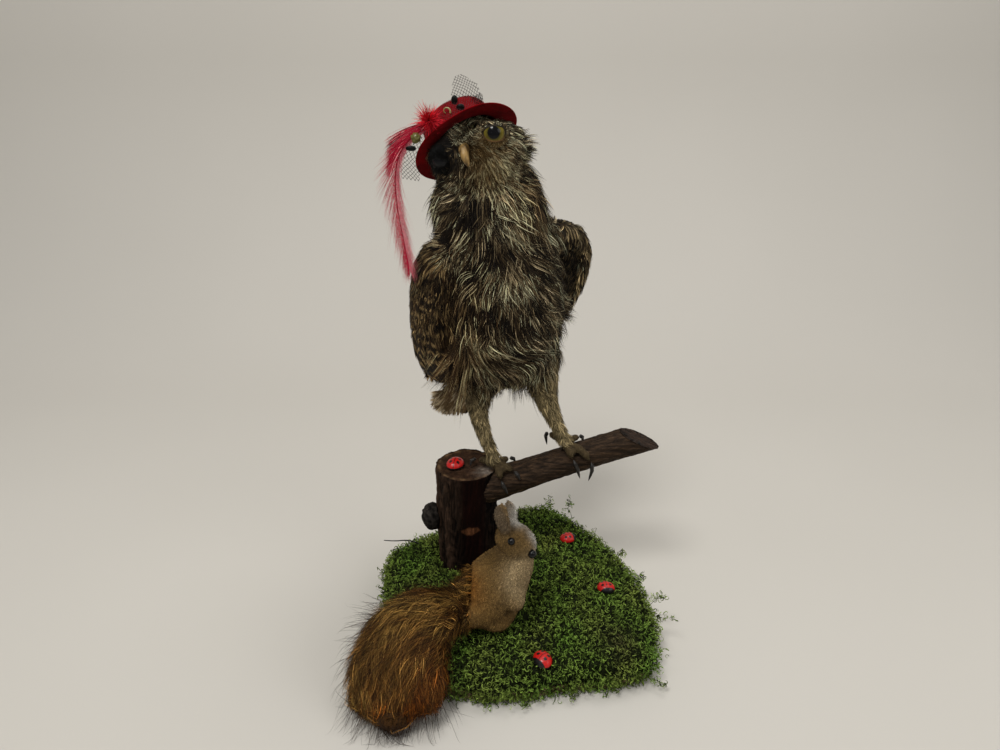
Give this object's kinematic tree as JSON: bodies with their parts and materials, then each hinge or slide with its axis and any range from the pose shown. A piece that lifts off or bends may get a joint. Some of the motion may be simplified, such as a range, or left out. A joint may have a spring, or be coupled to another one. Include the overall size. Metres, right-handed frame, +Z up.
{
  "type": "taxidermy little owl",
  "caption": "Life-size mounted little owl in a small red felt hat, standing on a cut stump with a side branch, on a mossy board with a felt squirrel and ladybirds.",
  "frame": {"origin": "underside of the base board, under the middle of the moss mound", "axes": "+Z up; the display's front faces -Y; +X runs along the side branch, to the right as seen from the front"},
  "size_m": [0.2095, 0.2156, 0.3681],
  "materials": {
    "feathers": "soft, matt, layered feathers",
    "leg_feathers": "short, hair-like feathers",
    "bill": "satin horn",
    "eye": "polished glass eye",
    "toe": "scaly skin with bristles",
    "claw": "polished horn",
    "red_felt": "pressed felt",
    "red_feather": "dyed feather",
    "black_net": "fine open net",
    "gold_bud": "waxy, slightly pearly",
    "bark": "rough bark",
    "board": "plain sawn board",
    "moss": "dry preserved moss",
    "squirrel_felt": "short flock with a fur tail",
    "ladybird": "painted, glossy"
  },
  "bodies": {
    "root": {"base_board": "board", "base_moss": "moss", "bill": "bill", "branch": "bark", "claw_left_hind": "claw", "claw_left_inner": "claw", "claw_left_middle": "claw", "claw_left_outer": "claw", "claw_right_hind": "claw", "claw_right_inner": "claw", "claw_right_middle": "claw", "claw_right_outer": "claw", "eye_left": "eye", "eye_right": "eye", "foot_left": "toe", "foot_right": "toe", "hat": "red_felt", "hat_bud": "gold_bud", "hat_plume": "red_feather", "hat_side_feather": "red_feather", "hat_tuft": "red_feather", "hat_veil_side": "black_net", "hat_veil_top": "black_net", "head": "feathers", "ladybird_1": "ladybird", "ladybird_2": "ladybird", "ladybird_3": "ladybird", "ladybird_4": "ladybird", "leg_left": "leg_feathers", "leg_right": "leg_feathers", "neck": "feathers", "squirrel": "squirrel_felt", "stump": "bark", "stump_knot": "bark", "tail": "feathers", "trunk": "feathers", "wing_left": "feathers", "wing_right": "feathers"}
  },
  "joints": []
}
